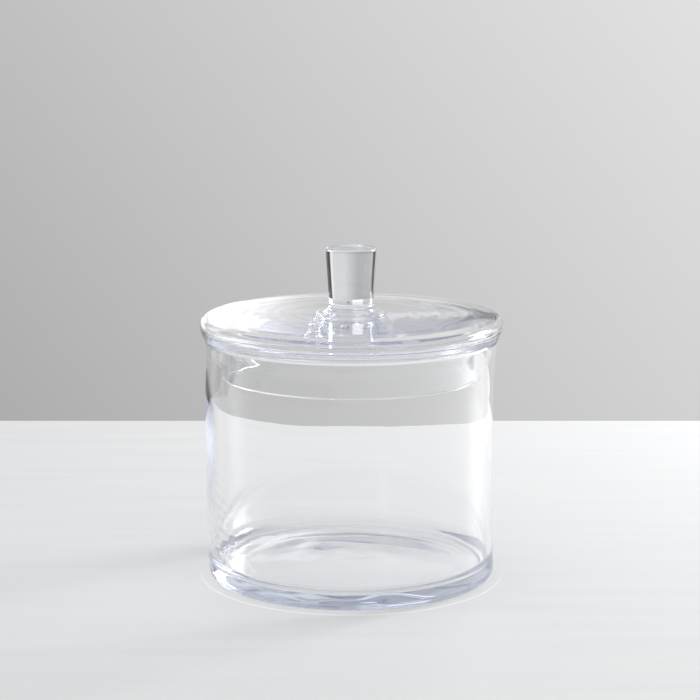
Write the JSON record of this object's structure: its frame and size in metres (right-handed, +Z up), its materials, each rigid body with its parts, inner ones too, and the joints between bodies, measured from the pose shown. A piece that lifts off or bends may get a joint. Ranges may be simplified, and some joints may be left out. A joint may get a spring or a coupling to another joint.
{
  "type": "apothecary jar",
  "caption": "Straight-sided clear glass apothecary jar with a thick base and a lift-off hollow lid that seats by a deep collar and is lifted by a solid tapered knob.",
  "frame": {"origin": "centre of the ring that the jar stands on, on the table plane", "axes": "+Z up along the axis of the jar, the lid and the knob; the object is turned about Z, so X and Y are free"},
  "size_m": [0.1588, 0.1588, 0.1745],
  "materials": {
    "jar_glass": "clear mouth-blown soda-lime glass, fire-polished, with a faint blue tint where it is thick",
    "lid_glass": "clear mouth-blown soda-lime glass, faintly rippled on the lid's top"
  },
  "bodies": {
    "jar": {"jar_body": "jar_glass"},
    "lid": {"lid": "lid_glass", "lid_knob": "lid_glass"}
  },
  "joints": [
    {"name": "lid_lift", "type": "slide", "parent": "jar", "child": "lid", "axis": [0, 0, 1], "range_m": [0, 0.06]}
  ]
}
